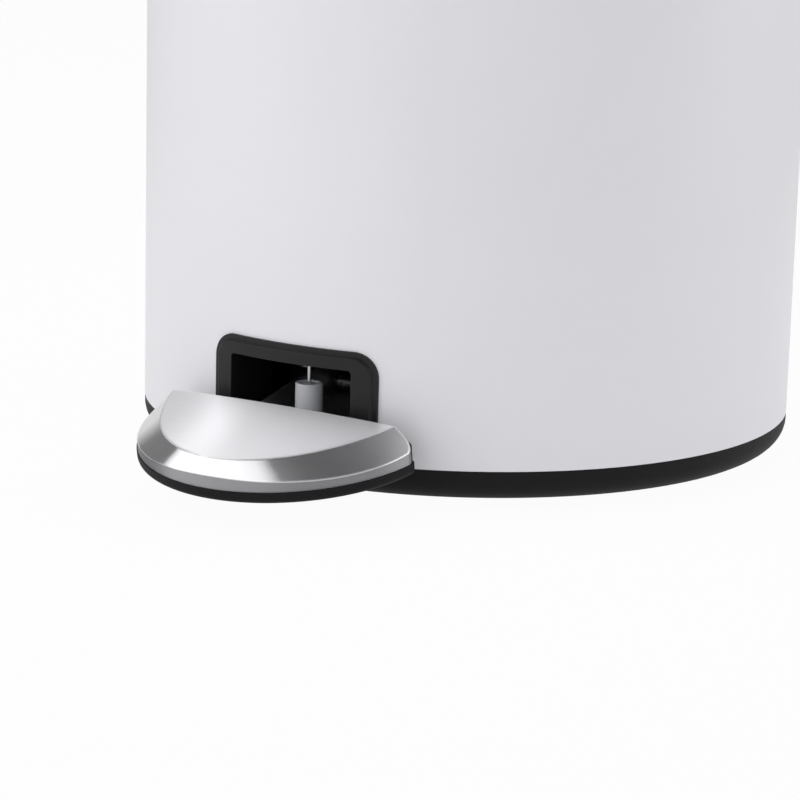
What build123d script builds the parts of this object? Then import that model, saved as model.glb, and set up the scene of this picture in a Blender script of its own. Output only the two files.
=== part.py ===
from build123d import *

import os
from math import asin, atan, cos, degrees, radians, sin, sqrt, tan

# Round pedal bin of about twelve litres: painted steel body, domed lid on a rear hinge, lift-out bucket.
# A foot pedal works a long lever under the bucket, which pushes a rod up the back wall to open the lid.
# A small damper on the lever slows the last part of the closing.
# Millimetres, Z up, origin on the can's axis at floor level, pedal towards -Y.

# Body and base
BODY_R = 125.0            # outer radius of the painted body
SHEET = 0.8               # body and lid sheet
FOOT_RISE = 4.0           # lowest edge of the base ring above the floor
RING_H = 11.0             # visible height of the base ring
RING_STEP = 5.5           # how far the base ring draws in towards the floor
RING_BELLY = 1.3          # fullest point of the ring's curve inside the body's line
RING_BELLY_Z = 3.6        # height of that point on the ring
RING_BROW = 9.35          # height on the ring where its curve meets the upright edge
BASE_INSET = 0.1          # base ring inside the body's line
BODY_TOP = 352.0          # top edge of the body
SLIP = 0.3                # gap between parts that slide over or into each other
MOULD = 2.6               # wall of the plastic mouldings
UPSTAND_H = 21.0          # base wall that stands inside the body
PLATE_T = 3.0             # base floor plate
PLATE_RISE = 2.0          # floor plate above the base ring's lowest edge
PLATE_WALL = 3.0          # base ring between the foot groove and the floor plate
PLATE_LEDGE = 5.0         # ledge of the base ring that the floor plate rests on
PLATE_SLIP = 0.15         # gap round the floor plate
RIB_T = 2.0               # base ribs
RIB_H = 4.0
RIB_COUNT = 16
RIB_END = 2.0             # base ribs stop short of the floor plate's edge
HUB_R = 26.0              # ring where the base ribs meet
FOOT_INSET = 27.0         # middle of the non-slip ring inside the body's outer face
FOOT_W = 8.0
FOOT_GROOVE = 3.0
FOOT_SLIP = 0.15
FOOT_BEVEL = 0.8

# Pedal window
WINDOW_HALF = 25.5        # clear half width of the window
WINDOW_TOP = 48.9         # underside of the window's head, above the floor
WINDOW_CORNER = 1.5
BEZEL_SIDE = 9.0          # frame width at the sides
BEZEL_HEAD = 6.6          # frame width at the top
BEZEL_CORNER = 9.0
BEZEL_LIP = 1.0           # thin lip that lies on the body
BEZEL_PROUD = 2.2         # face of the frame above the body
BEZEL_STEP = 1.7          # lip that shows round the raised face
BEZEL_SOFT = 0.8          # edge rounding of the raised face
HOOD_T = 1.8              # wall of the tunnel behind the frame
HOOD_DEPTH = 27.0
CUT_SLIP = 0.2            # body cut-out round the tunnel

# Pedal
PEDAL_R = 55.0            # half-disc plan radius
PEDAL_BACK = 5.9          # rear edge in front of the half-disc's centre
PEDAL_BOW = 480.0         # radius of the rear edge, which bows towards the body at its ends
PEDAL_GAP = 4.0           # middle of the rear edge in front of the body
PEDAL_Z = 21.0            # lower edge of the steel cover at the rear
PEDAL_TILT = 8.5          # slope of the pedal down towards its toe, degrees
PEDAL_CORNER = 4.5        # rounding of the cover's rear corners
COVER_T = 1.0
COVER_RIM = 4.5           # upright edge of the steel cover
COVER_REAR = 14.0         # crown of the cover at the rear edge
COVER_FALL = 4.8          # slope of the tread towards the toe against the upright edge, degrees
COVER_ARCH_R = 540.0      # sideways arch of the tread
TREAD_SIDE = 10.2         # tread's outline at crown height inside the pedal's, at the rear edge
TREAD_TOE = 6.2           # and at the toe
TREAD_BACK = 200.0        # centre of that half-ellipse behind the rear edge
TREAD_RUN = 10.0          # bevel runs out behind the rear edge
COVER_SOFT = 1.2          # rounding of the cover's outer creases
TRAY_T = 4.4              # black underside that shows below the cover
TRAY_SOFT = 2.2
TRAY_DECK = 1.0           # platform inside the cover that carries the lever tongue
TRAY_WALL = 2.0
TRAY_CORNER = 3.0
TRAY_PROUD = 0.4          # underside stands out past the cover
TRAY_RIB_GAP = 6.0        # inner ribs beside the lever tongue
TRAY_RIB_SIDE = 15.0      # outer ribs inside the pedal's side
PEDAL_SCREW_X = 13.0      # rear pair of screws
PEDAL_SCREW_ROW = 9.0     # rear pair in front of the rear edge
PEDAL_SCREW_TOE = 8.0     # third screw behind the tongue's end

# Lever and axle
LEVER_T = 2.5
LEVER_HALF = 20.0
LEVER_TAIL_HALF = 7.0
LEVER_WAIST = 45.0        # full width of the lever ends this far behind the axle
LEVER_NECK = 50.0         # length of the narrow tail
LEVER_NOSE_R = 9.0
LEVER_SLOT_HALF = 9.0     # lightening slot behind the axle
LEVER_SLOT_FRONT = 22.0
LEVER_SLOT_L = 43.0
LEVER_SLOT_R = 8.0
LEVER_Z = 21.5            # underside of the lever at rest
TONGUE_END = 11.1         # lever tongue stops short of the pedal's toe
WEB_T = 2.0               # upturned side webs of the lever
WEB_H = 5.0
WEB_PEAK = 15.0
WEB_CROWN = 14.0          # half length of the web's crown round the axle
WEB_FRONT = 4.0           # web starts in front of the damper
PIVOT_INSET = 60.0        # axle behind the front of the body
PIVOT_Z = 29.0
AXLE_R = 3.0
RUN = 0.05                # radial running clearance
BUSH_WALL = 1.5
BUSH_HEAD = 2.6
BUSH_TAIL = 1.0           # sleeve past the web
PILLAR_GAP = 0.4
PILLAR_W = 8.0
PILLAR_L = 24.0
CAP_H = 6.0
CAP_BEVEL = 1.5
CAP_BITE = 8.0            # cap screws in their pillars
CAP_SCREW_PITCH = 15.0

# Damper
DAMPER_INSET = 13.0       # behind the front of the body
DAMPER_R = 5.0
DAMPER_TOP = 39.2
DAMPER_LOW = 14.5
DAMPER_BORE = 3.6
DAMPER_HEAD = 1.6         # depth of the dark end seal in the mouth
DAMPER_RECESS = 0.6
DAMPER_FLOOR = 2.0
DAMPER_COLLAR = 1.5
DAMPER_FLANGE = 1.2       # collar's overhang on the lever
DAMPER_SOFT = 0.4
ROD_R = 0.8
ROD_GAP = 0.3             # rod tip below the window head
ROD_SOFT = 0.3
PISTON_H = 4.0
PISTON_Z = 24.5
SPRING_WIRE = 0.35        # wire radius
SPRING_TURNS = 5

# Lid hinge and lift rod
HINGE_OUT = 8.0           # hinge pin behind the body
HINGE_DROP = 3.0          # hinge pin below the body's top edge
HINGE_PIN_R = 2.5
BARREL_R = 6.0
BARREL_HALF = 31.5
CRANK_R = 11.5            # hinge pin to crank pin
LID_OPEN = 73.0           # lid travel, degrees
CRANK_PIN_R = 2.0
CRANK_CHEEK = 3.0
LIFT_R = 2.0
LIFT_INSET = 7.8          # lift rod inside the body's outer face
LIFT_FOOT_R = 3.5
LIFT_FOOT_H = 10.0
LIFT_DOME_R = 7.7
FORK_T = 7.0
FORK_PRONG = 3.5
FORK_SLACK = 0.3
FORK_WALL = 1.2           # fork in front of the rod
FORK_TIP = 0.6            # prongs past the crank pin
FORK_THROAT = 0.4         # slot in front of the crank pin's foremost place
FORK_SOFT = 1.0
GUIDE_W = 16.0
GUIDE_H = 8.0
GUIDE_REACH = 11.0
GUIDE_SOFT = 3.0
GUIDE_RISE = 91.0         # lower guide above the body's lower edge
GUIDE_DROP = 61.0         # upper guide below the body's top edge

# Hinge housing
HOUSE_HALF = 42.0
HOUSE_OUT = 22.0
HOUSE_H = 52.0
HOUSE_CORNER = 12.0
HOUSE_WALL = 3.5
HOUSE_PLAY = 0.8
HOUSE_LIFT = 1.5          # housing above the body's top edge
HOUSE_SOLE = 24.0         # height of the sloped underside at the rear
HOUSE_TUCK = 6.0          # slope starts inside the body's outer face
HOUSE_FLOOR = 3.0         # room under the crank
HOUSE_BROW = 2.0          # rear wall stands lower behind the barrel
HOUSE_BROW_RISE = 3.0
PIN_CAP = 2.0             # housing over the ends of the hinge pin
NOTCH_HALF = 20.0
NOTCH_DEPTH = 26.0
HOUSE_SCREW_ANGLE = 15.5
HOUSE_SCREW_DROPS = (30.0, 44.0)
HOUSE_SCREW_L = 9.0

# Top collar and lid
COLLAR_PROUD = 0.9
COLLAR_H = 5.0
COLLAR_SKIRT = 14.0
LEDGE_DROP = 3.5
LEDGE_T = 2.5
LEDGE_LAP = 3.2           # bucket flange on the ledge
COLLAR_WALL = 1.0         # collar's wall inside its skirt
COLLAR_SOFT = 1.0
COLLAR_FLARE = (1.6, 2.5) # bevel that leads the bucket in
COLLAR_SILL = 0.5         # collar left in the gap for the lid's arms
SHAFT_GAP = 1.9           # collar and the lift rod's shaft
COLLAR_GAP_HALF = 33.0
LID_PROUD = 1.2           # lid outside the body's line
LID_GAP = 0.8
LID_SKIRT = 19.2
LID_SHOULDER = 12.0
LID_DOME_R = 650.0
HEM_W = 3.4
LINER_RISE = 12.6         # liner plate above the lid's hem
LINER_T = 2.0
LINER_WALL = 2.4
LINER_EASE = 2.0          # bevel between the liner's plate and its wall
LINER_BEVEL = 1.5
BRACKET_T = 4.0
BRACKET_HALF = 30.0
BRACKET_L = 30.0          # plate in front of the lift rod
BRACKET_CORNER = 8.0
BRACKET_SCREW_X = 22.0
BRACKET_SCREW_ROWS = (22.0, 8.0)
WEB_BEFORE = 2.5          # bracket webs in front of the lift rod and behind it
WEB_BEHIND = 4.5
ARM_GAP = 1.0             # bracket arms above the body's top edge
ARM_INNER = 10.0
ARM_END = 1.5             # arms stop short of the barrel's ends
CRANK_WALL = 1.5
FORK_SIDE = 0.5           # fork between the crank cheeks
BUMPER_COUNT = 3
BUMPER_R = 1.1
BUMPER_SEAT = 1.5         # depth of the stops in the collar
BUMPER_SOFT = 0.3

# Bucket and bail
BUCKET_PLAY = 1.8         # bucket inside the ledge
BUCKET_TAPER = 10.0       # radius lost from rim to foot
BUCKET_LOW_Z = 62.0
BUCKET_T = 1.8
BUCKET_CORNER = 9.0
BUCKET_CROWN = 0.5        # floor's rise at the rim, so that it drains to the middle
FLANGE_GAP = 0.6          # flange in front of the lift rod's fork
FLANGE_T = 2.0
BAIL_R = 1.6
BAIL_INSET = 26.0         # front run of the bail inside the flange's edge
BAIL_SPREAD = 3.0         # bail's corner outside the flange
BAIL_NARROW = 29.0        # front corners inside the flange's edge
BAIL_TAIL = 3.5           # wire end inside the lug
BAIL_BEND = 3.4
BAIL_STRAIGHT = 8.0       # straight wire past each end of the grip
LUG_INSET = 4.6           # lug's middle inside the flange's edge
LUG_T = 2.8
LUG_R = 4.0
GRIP_R = 4.2
GRIP_HALF = 28.0
GRIP_RING = 0.6           # depth of the grip's finger rings
GRIP_RING_W = 2.4
GRIP_RINGS = 5
GRIP_SOFT = 1.7

# Screws
SCREW_R = 1.9
SCREW_HEAD_R = 3.6
SCREW_HEAD_H = 2.2
SCREW_SOFT = 1.3
DRIVE_W = 0.8             # cross recess in the head
DRIVE_DEPTH = 1.0

UP = (Align.CENTER, Align.CENTER, Align.MIN)
FAR = 600.0               # longer than the can, for cutting tools

# Places that several pieces share
body_in = BODY_R - SHEET
body_low = FOOT_RISE + RING_H
plate_low = FOOT_RISE + PLATE_RISE
plate_top = plate_low + PLATE_T
upstand_out = body_in - SLIP
upstand_in = upstand_out - MOULD
foot_r = BODY_R - FOOT_INSET
plate_r = foot_r - FOOT_W / 2 - PLATE_WALL
pillar_x = LEVER_HALF + BUSH_HEAD + PILLAR_GAP
pivot_y = -(BODY_R - PIVOT_INSET)
damper_y = -(BODY_R - DAMPER_INSET)
lift_y = BODY_R - LIFT_INSET
flange_r = lift_y - LIFT_R - FORK_WALL - FLANGE_GAP
ledge_r = flange_r - LEDGE_LAP
bucket_top_r = ledge_r - BUCKET_PLAY
bucket_low_r = bucket_top_r - BUCKET_TAPER
hinge_y = BODY_R + HINGE_OUT
hinge_z = BODY_TOP - HINGE_DROP
crank_y = hinge_y - CRANK_R * cos(radians(LID_OPEN / 2))
crank_z = hinge_z - CRANK_R * sin(radians(LID_OPEN / 2))
lift_travel = 2 * CRANK_R * sin(radians(LID_OPEN / 2))
press_angle = degrees(asin(lift_travel / (lift_y - pivot_y)))
lever_top = LEVER_Z + LEVER_T
ledge_z = BODY_TOP - LEDGE_DROP
flange_z = ledge_z + SLIP
flange_top = flange_z + FLANGE_T
lid_low = BODY_TOP + COLLAR_H + LID_GAP
lid_r = BODY_R + LID_PROUD
liner_in = lid_r - SHEET - SLIP - LINER_WALL
liner_low = lid_low + SHEET
liner_plate = lid_low + LINER_RISE + SHEET
screw_seat = SCREW_HEAD_H + SLIP - TRAY_T
pedal_toe = PEDAL_R - PEDAL_BACK
tread_half = PEDAL_R - TREAD_SIDE
tread_reach = pedal_toe - TREAD_TOE
tongue_reach = pedal_toe - TONGUE_END
pedal_screw_places = [
    (-PEDAL_SCREW_X, -PEDAL_SCREW_ROW),
    (PEDAL_SCREW_X, -PEDAL_SCREW_ROW),
    (0, PEDAL_SCREW_TOE - tongue_reach),
]
bail_z = flange_top + BAIL_R + SLIP
bail_front = flange_r - BAIL_INSET
lug_x = flange_r - LUG_INSET
cheek_x = FORK_T / 2 + FORK_SIDE
pedal_plane = Plane(
    origin=(0, -(BODY_R + PEDAL_GAP), PEDAL_Z),
    x_dir=(1, 0, 0),
    z_dir=(0, -sin(radians(PEDAL_TILT)), cos(radians(PEDAL_TILT))),
)


def block(x, y, z):
    """A box from its low and high limits along each axis."""
    size = [b - a for a, b in (x, y, z)]
    return Pos(*[(a + b) / 2 for a, b in (x, y, z)]) * Box(*size)


def post(radius, low, high, x=0.0, y=0.0):
    """An upright cylinder between two heights."""
    return Pos(x, y, low) * Cylinder(radius, high - low, align=UP)


def bar(radius, half, y, z):
    """A cylinder across the can, centred on the symmetry plane."""
    return Pos(0, y, z) * Rot(0, 90, 0) * Cylinder(radius, 2 * half)


def turned(*edges):
    """A solid of revolution about the can's axis from edges drawn as (radius, height)."""
    drawn = Plane.XZ * make_face(Curve() + list(edges))
    return revolve(drawn, Axis.Z)


def turned_outline(*points):
    """A solid of revolution from a straight-sided outline of (radius, height) points."""
    return revolve(Plane.XZ * make_face(Polyline(*points, close=True)), Axis.Z)


def side_plate(points, half):
    """A plate across the can from a side outline of (y, z) points."""
    face = Plane.YZ * make_face(Polyline(*points, close=True))
    return extrude(face, half, both=True)


def screw(length):
    """A pan-head screw along +Z, its head's underside at the origin and its shank above."""
    head = Pos(0, 0, -SCREW_HEAD_H) * Cylinder(SCREW_HEAD_R, SCREW_HEAD_H, align=UP)
    head = fillet(head.edges().group_by(Axis.Z)[0], SCREW_SOFT)
    drive = Pos(0, 0, -SCREW_HEAD_H) * Box(SCREW_HEAD_R, DRIVE_W, 2 * DRIVE_DEPTH)
    cross = drive + Rot(0, 0, 90) * drive
    return head - cross + Cylinder(SCREW_R, length, align=UP)


def make_base_ring():
    """Black base ring: rounded outside, wall that stands in the body, channel, foot groove and floor ledge."""
    outer = BODY_R - BASE_INSET
    foot = (outer - RING_STEP, FOOT_RISE)
    belly = (outer - RING_BELLY, FOOT_RISE + RING_BELLY_Z)
    brow = (outer, FOOT_RISE + RING_BROW)
    channel_r = foot_r + FOOT_W / 2 + PLATE_WALL
    channel_z = FOOT_RISE + MOULD
    path = [
        brow,
        (outer, body_low),
        (upstand_out, body_low),
        (upstand_out, body_low + UPSTAND_H),
        (upstand_in, body_low + UPSTAND_H),
        (upstand_in, channel_z),
        (channel_r, channel_z),
        (channel_r, plate_top),
        (plate_r + PLATE_SLIP, plate_top),
        (plate_r + PLATE_SLIP, plate_low),
        (plate_r - PLATE_LEDGE, plate_low),
        (plate_r - PLATE_LEDGE, FOOT_RISE),
        foot,
    ]
    ring = turned(ThreePointArc(foot, belly, brow), Polyline(*path))
    groove = post(foot_r + FOOT_W / 2, FOOT_RISE, FOOT_RISE + FOOT_GROOVE)
    groove -= post(foot_r - FOOT_W / 2, FOOT_RISE, FOOT_RISE + FOOT_GROOVE)
    doorway = WINDOW_HALF + HOOD_T + SLIP
    return ring - groove - block((-doorway, doorway), (-FAR, -BODY_R / 2), (body_low, FAR))


def make_base_plate():
    """Black floor plate on the base ring's ledge, with radial ribs and the two axle pillars."""
    plate = post(plate_r, plate_low, plate_top)
    rib_z = (plate_top, plate_top + RIB_H)
    rib = block((HUB_R, plate_r - RIB_END), (-RIB_T / 2, RIB_T / 2), rib_z)
    for number in range(RIB_COUNT):
        plate += Rot(0, 0, 360 * (number + 0.5) / RIB_COUNT) * rib
    plate += post(HUB_R + RIB_T, *rib_z) - post(HUB_R, *rib_z)
    for x, y in pillar_plans():
        plate += block(x, y, (plate_low, PIVOT_Z))
        for end in (-1, 1):
            hole_y = pivot_y + end * CAP_SCREW_PITCH / 2
            plate -= post(SCREW_R, PIVOT_Z - CAP_BITE, PIVOT_Z, sum(x) / 2, hole_y)
    return plate - bar(AXLE_R, pillar_x + PILLAR_W, pivot_y, PIVOT_Z)


def pillar_plans():
    """Plan limits of the two axle pillars, which their caps share."""
    y = (pivot_y - PILLAR_L / 2, pivot_y + PILLAR_L / 2)
    return [(sorted((side * pillar_x, side * (pillar_x + PILLAR_W))), y) for side in (-1, 1)]


def make_axle_caps():
    """Two saddle caps that hold the axle down on the base pillars."""
    caps = []
    for x, y in pillar_plans():
        cap = block(x, y, (PIVOT_Z, PIVOT_Z + CAP_H))
        cap = chamfer(cap.edges().filter_by(Axis.X).group_by(Axis.Z)[-1], CAP_BEVEL)
        cap -= bar(AXLE_R, FAR, pivot_y, PIVOT_Z)
        for end in (-1, 1):
            cap -= post(SCREW_R, 0, FAR, sum(x) / 2, pivot_y + end * CAP_SCREW_PITCH / 2)
        caps.append(cap)
    return Compound(caps)


def make_axle_screws():
    """Four screws through the saddle caps into the pillars."""
    turned_over = Rot(180, 0, 0) * screw(CAP_H + CAP_BITE)
    places = [
        Pos(side * (pillar_x + PILLAR_W / 2), pivot_y + end * CAP_SCREW_PITCH / 2, PIVOT_Z + CAP_H)
        for side in (-1, 1)
        for end in (-1, 1)
    ]
    return Compound([place * turned_over for place in places])


def make_axle_pin():
    """Steel axle that the lever turns on."""
    return bar(AXLE_R, pillar_x + PILLAR_W, pivot_y, PIVOT_Z)


def make_foot_ring():
    """Rubber ring that the can stands on, pressed into the base."""
    half = FOOT_W / 2 - FOOT_SLIP
    top = FOOT_RISE + FOOT_GROOVE
    return turned_outline(
        (foot_r - half, top),
        (foot_r - half, FOOT_BEVEL),
        (foot_r - half + FOOT_BEVEL, 0),
        (foot_r + half - FOOT_BEVEL, 0),
        (foot_r + half, FOOT_BEVEL),
        (foot_r + half, top),
    )


def make_body_shell():
    """Painted steel tube with the pedal window, the hinge notch and the hinge screw holes."""
    shell = post(BODY_R, body_low, BODY_TOP) - post(body_in, body_low, BODY_TOP)
    half = WINDOW_HALF + HOOD_T + CUT_SLIP
    top = WINDOW_TOP + HOOD_T + CUT_SLIP
    shell -= block((-half, half), (-FAR, -BODY_R / 2), (0, top))
    notch = block((-NOTCH_HALF, NOTCH_HALF), (BODY_R / 2, FAR), (BODY_TOP - NOTCH_DEPTH, FAR))
    shell -= notch
    for place in house_screw_places():
        shell -= place * house_screw_hole()
    return shell


def house_screw_places():
    """Places of the hinge housing's screws round the back of the body."""
    return [
        Pos(0, 0, BODY_TOP - drop) * Rot(0, 0, angle)
        for angle in (-HOUSE_SCREW_ANGLE, HOUSE_SCREW_ANGLE)
        for drop in HOUSE_SCREW_DROPS
    ]


def house_screw_hole():
    """Bore for a housing screw, square to the body."""
    seat = sqrt(body_in**2 - SCREW_HEAD_R**2)
    return Pos(0, seat, 0) * Rot(-90, 0, 0) * Cylinder(SCREW_R, HOUSE_SCREW_L, align=UP)


def window_prism(half, top, corner, low):
    """An arch-topped prism through the front of the body, open downwards."""
    face = Plane.XZ * Pos(0, (top + low) / 2) * Rectangle(2 * half, top - low)
    prism = Pos(0, -BODY_R / 2, 0) * extrude(face, BODY_R)
    edges = prism.edges().filter_by(Axis.Y).group_by(Axis.Z)[-1]
    return fillet(edges, corner)


def make_pedal_bezel():
    """Black window frame on the body's curve, with the tunnel that the lever passes through."""
    low = body_low + CUT_SLIP
    half = WINDOW_HALF + BEZEL_SIDE
    top = WINDOW_TOP + BEZEL_HEAD
    opening = window_prism(WINDOW_HALF, WINDOW_TOP, WINDOW_CORNER, 0)
    lip_skin = post(BODY_R + BEZEL_LIP, 0, FAR) - post(BODY_R, 0, FAR)
    face_skin = post(BODY_R + BEZEL_PROUD, 0, FAR) - post(BODY_R, 0, FAR)
    lip = window_prism(half, top, BEZEL_CORNER, low) & lip_skin
    raised = window_prism(half - BEZEL_STEP, top - BEZEL_STEP, BEZEL_CORNER - BEZEL_STEP, low) & face_skin
    front = raised.faces().sort_by(Axis.Y)[0]
    raised = chamfer(front.edges().sort_by(Axis.Z)[1:], BEZEL_SOFT) - opening
    hood = window_prism(WINDOW_HALF + HOOD_T, WINDOW_TOP + HOOD_T, WINDOW_CORNER + HOOD_T, low)
    hood &= post(BODY_R, 0, FAR)
    hood -= block((-FAR, FAR), (-(BODY_R - HOOD_DEPTH), FAR), (0, FAR))
    return (lip - opening) + raised + (hood - opening)


def pedal_outline(inset, corner=0.0):
    """The half-disc plan of the pedal in its own plane; an inset one runs out through the rear edge."""
    radius = PEDAL_R - inset
    centre = PEDAL_BOW + inset
    end = (radius**2 - PEDAL_BACK**2 + centre**2 - PEDAL_BOW**2) / (2 * (centre - PEDAL_BACK))
    half = sqrt(radius**2 - (end - PEDAL_BACK) ** 2)
    bow = ThreePointArc((half, end), (0, PEDAL_BACK - radius), (-half, end))
    plan = make_face(Curve() + [bow, ThreePointArc((-half, end), (0, inset), (half, end))])
    if corner:
        plan = fillet(plan.vertices(), corner)
    return plan


def bevel_foot(inset):
    """The wider half-disc plan that the bevel would reach at the foot of the cover."""
    spread = COVER_RIM / (COVER_REAR - COVER_RIM)
    radius = PEDAL_R + spread * TREAD_SIDE - inset
    centre = radius + inset - pedal_toe - spread * TREAD_TOE
    half = sqrt(radius**2 - (TREAD_RUN - centre) ** 2)
    bow = ThreePointArc((half, TREAD_RUN), (0, centre - radius), (-half, TREAD_RUN))
    return make_face(Curve() + [bow, Line(bow @ 1, bow @ 0)])


def tread_outline(inset):
    """The narrower half-ellipse plan that the bevel leans in to, at crown height."""
    long_r = tread_reach + TREAD_BACK - inset
    wide_r = (tread_half - inset) / sqrt(1 - (TREAD_BACK / long_r) ** 2)
    start = degrees(asin((TREAD_BACK - TREAD_RUN) / long_r))
    bow = EllipticalCenterArc((0, TREAD_BACK), wide_r, long_r, 180 + start, arc_size=180 - 2 * start)
    return make_face(Curve() + [bow, Line(bow @ 1, bow @ 0)])


def pedal_mass(inset):
    """The pedal cover's outside, or its inside when inset by the sheet, in the pedal's own plane."""
    upright = extrude(pedal_outline(inset, PEDAL_CORNER - inset), COVER_REAR)
    lean = atan(TREAD_TOE / (COVER_REAR - COVER_RIM))
    bevel = loft([bevel_foot(inset), Pos(0, 0, COVER_REAR) * tread_outline(inset)])
    arch = Rot(90, 0, 0) * Cylinder(COVER_ARCH_R - inset, FAR)
    arch = Pos(0, 0, COVER_REAR) * Rot(COVER_FALL, 0, 0) * Pos(0, 0, -COVER_ARCH_R) * arch
    return upright & Pos(0, 0, -inset * tan(lean / 2)) * bevel & arch


def make_pedal_cover():
    """Brushed steel pedal cover: half-disc pressing with an upright edge, a bevel and an arched tread."""
    outside = pedal_mass(0)
    creases = [edge for edge in outside.edges() if edge.length > PEDAL_R and edge.center().Z > RUN]
    outside = fillet(creases, COVER_SOFT)
    return pedal_plane * (outside - pedal_mass(COVER_T))


def make_pedal_tray():
    """Black underside of the pedal, with the deck, ribs and rear wall that stand inside the cover."""
    plate = extrude(pedal_outline(-TRAY_PROUD, TRAY_CORNER), -TRAY_T)
    plate = fillet(plate.edges().group_by(Axis.Z)[0], TRAY_SOFT)
    inside = pedal_mass(COVER_T + SLIP) & extrude(pedal_outline(0), FAR)
    deck = inside & block((-FAR, FAR), (-FAR, FAR), (0, TRAY_DECK))
    wall = inside - Pos(0, -TRAY_WALL, 0) * inside
    tray = plate + deck + wall
    for x in (LEVER_HALF + TRAY_RIB_GAP, PEDAL_R - TRAY_RIB_SIDE):
        for side in (-1, 1):
            middle = side * x
            tray += inside & block((middle - RIB_T / 2, middle + RIB_T / 2), (-FAR, 0), (0, FAR))
    slot = LEVER_HALF + SLIP
    for x, y in pedal_screw_places:
        tray -= post(SCREW_HEAD_R + SLIP, -TRAY_T, screw_seat, x, y)
        tray -= post(SCREW_R, -TRAY_T, TRAY_DECK, x, y)
    return pedal_plane * tray - side_plate(lever_outline(), slot)


def make_pedal_screws():
    """Three screws from below that hold the pedal to the lever tongue."""
    shaft = TRAY_DECK + LEVER_T - screw_seat
    return Compound([pedal_plane * Pos(x, y, screw_seat) * screw(shaft) for x, y in pedal_screw_places])


def lever_outline():
    """Side outline of the lever plate: level inside the can, bent down to the pedal's slope in front."""
    slope = radians(PEDAL_TILT)
    rear_y = -(BODY_R + PEDAL_GAP)
    low = PEDAL_Z + TRAY_DECK / cos(slope)
    bend_y = rear_y - (low - LEVER_Z) / tan(slope)
    high_bend = bend_y + LEVER_T * tan(slope / 2)
    toe = pedal_plane * Pos(0, -tongue_reach, TRAY_DECK)
    toe_top = pedal_plane * Pos(0, -tongue_reach, TRAY_DECK + LEVER_T)
    tail = lift_y + LIFT_FOOT_R
    return [
        (tail, LEVER_Z),
        (tail, lever_top),
        (high_bend, lever_top),
        (toe_top.position.Y, toe_top.position.Z),
        (toe.position.Y, toe.position.Z),
        (bend_y, LEVER_Z),
    ]


def make_pedal_lever():
    """Pressed steel lever: bent plate with upturned side webs, narrowing towards the lift rod."""
    plate = side_plate(lever_outline(), LEVER_HALF)
    nose = pedal_plane * Pos(0, -tongue_reach, 0)
    nose_y = nose.position.Y
    tail_y = lift_y + LIFT_FOOT_R
    waist_y = pivot_y + LEVER_WAIST
    neck_y = tail_y - LEVER_NECK
    half, tail = LEVER_HALF, LEVER_TAIL_HALF
    right = [(half, nose_y), (half, waist_y), (tail, neck_y), (tail, tail_y)]
    left = [(-x, y) for x, y in reversed(right)]
    plan = make_face(Polyline(*right, *left, close=True))
    plan = fillet(plan.vertices().group_by(Axis.Y)[0], LEVER_NOSE_R)
    plan = fillet(plan.vertices().group_by(Axis.Y)[-1], LEVER_TAIL_HALF - RUN)
    plate &= extrude(plan, FAR)
    web = [
        (damper_y - WEB_FRONT, lever_top),
        (damper_y - WEB_FRONT, lever_top + WEB_H),
        (pivot_y - WEB_CROWN, LEVER_Z + WEB_PEAK),
        (pivot_y + WEB_CROWN, LEVER_Z + WEB_PEAK),
        (waist_y, lever_top + WEB_H),
        (waist_y, lever_top),
    ]
    webs = side_plate(web, half) - side_plate(web, half - WEB_T)
    lever = plate + webs
    lever -= bar(AXLE_R + RUN + BUSH_WALL, FAR, pivot_y, PIVOT_Z)
    lever -= post(DAMPER_R, 0, FAR, 0, damper_y)
    for x, y in pedal_screw_places:
        lever -= pedal_plane * post(SCREW_R, 0, FAR, x, y)
    slot_y = pivot_y + LEVER_SLOT_FRONT
    slot = block((-LEVER_SLOT_HALF, LEVER_SLOT_HALF), (slot_y, slot_y + LEVER_SLOT_L), (0, lever_top))
    return lever - fillet(slot.edges().filter_by(Axis.Z), LEVER_SLOT_R)


def make_lever_bushes():
    """Two flanged nylon bushes in the lever webs, running on the axle."""
    bore = bar(AXLE_R + RUN, FAR, pivot_y, PIVOT_Z)
    bushes = []
    for side in (-1, 1):
        sleeve = bar(AXLE_R + RUN + BUSH_WALL, LEVER_HALF, pivot_y, PIVOT_Z)
        head = bar(AXLE_R + RUN + 2 * BUSH_WALL, LEVER_HALF + BUSH_HEAD, pivot_y, PIVOT_Z)
        head -= block((-LEVER_HALF, LEVER_HALF), (-FAR, FAR), (0, FAR))
        inner = LEVER_HALF - WEB_T - BUSH_TAIL
        sleeve -= block((-inner, inner), (-FAR, FAR), (0, FAR))
        kept = block(sorted((0, side * FAR)), (-FAR, FAR), (0, FAR))
        bushes.append((sleeve + head - bore) & kept)
    return Compound([bush.solid() for bush in bushes])


def make_damper_barrel():
    """White damper barrel standing in the lever, closed at the foot."""
    barrel = post(DAMPER_R, DAMPER_LOW, DAMPER_TOP, 0, damper_y)
    barrel = fillet(barrel.edges().group_by(Axis.Z)[-1], DAMPER_SOFT)
    barrel += post(DAMPER_R + DAMPER_FLANGE, lever_top, lever_top + DAMPER_COLLAR, 0, damper_y)
    return barrel - post(DAMPER_BORE, DAMPER_LOW + DAMPER_FLOOR, DAMPER_TOP, 0, damper_y)


def make_damper_seal():
    """Dark end seal set a little below the barrel's mouth."""
    high = DAMPER_TOP - DAMPER_RECESS
    seal = post(DAMPER_BORE, high - DAMPER_HEAD, high, 0, damper_y)
    return seal - post(ROD_R + RUN, 0, FAR, 0, damper_y)


def make_damper_rod():
    """Thin steel rod that meets the window head."""
    rod = post(ROD_R, PISTON_Z + PISTON_H, WINDOW_TOP - ROD_GAP, 0, damper_y)
    return fillet(rod.edges().group_by(Axis.Z)[-1], ROD_SOFT)


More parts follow.
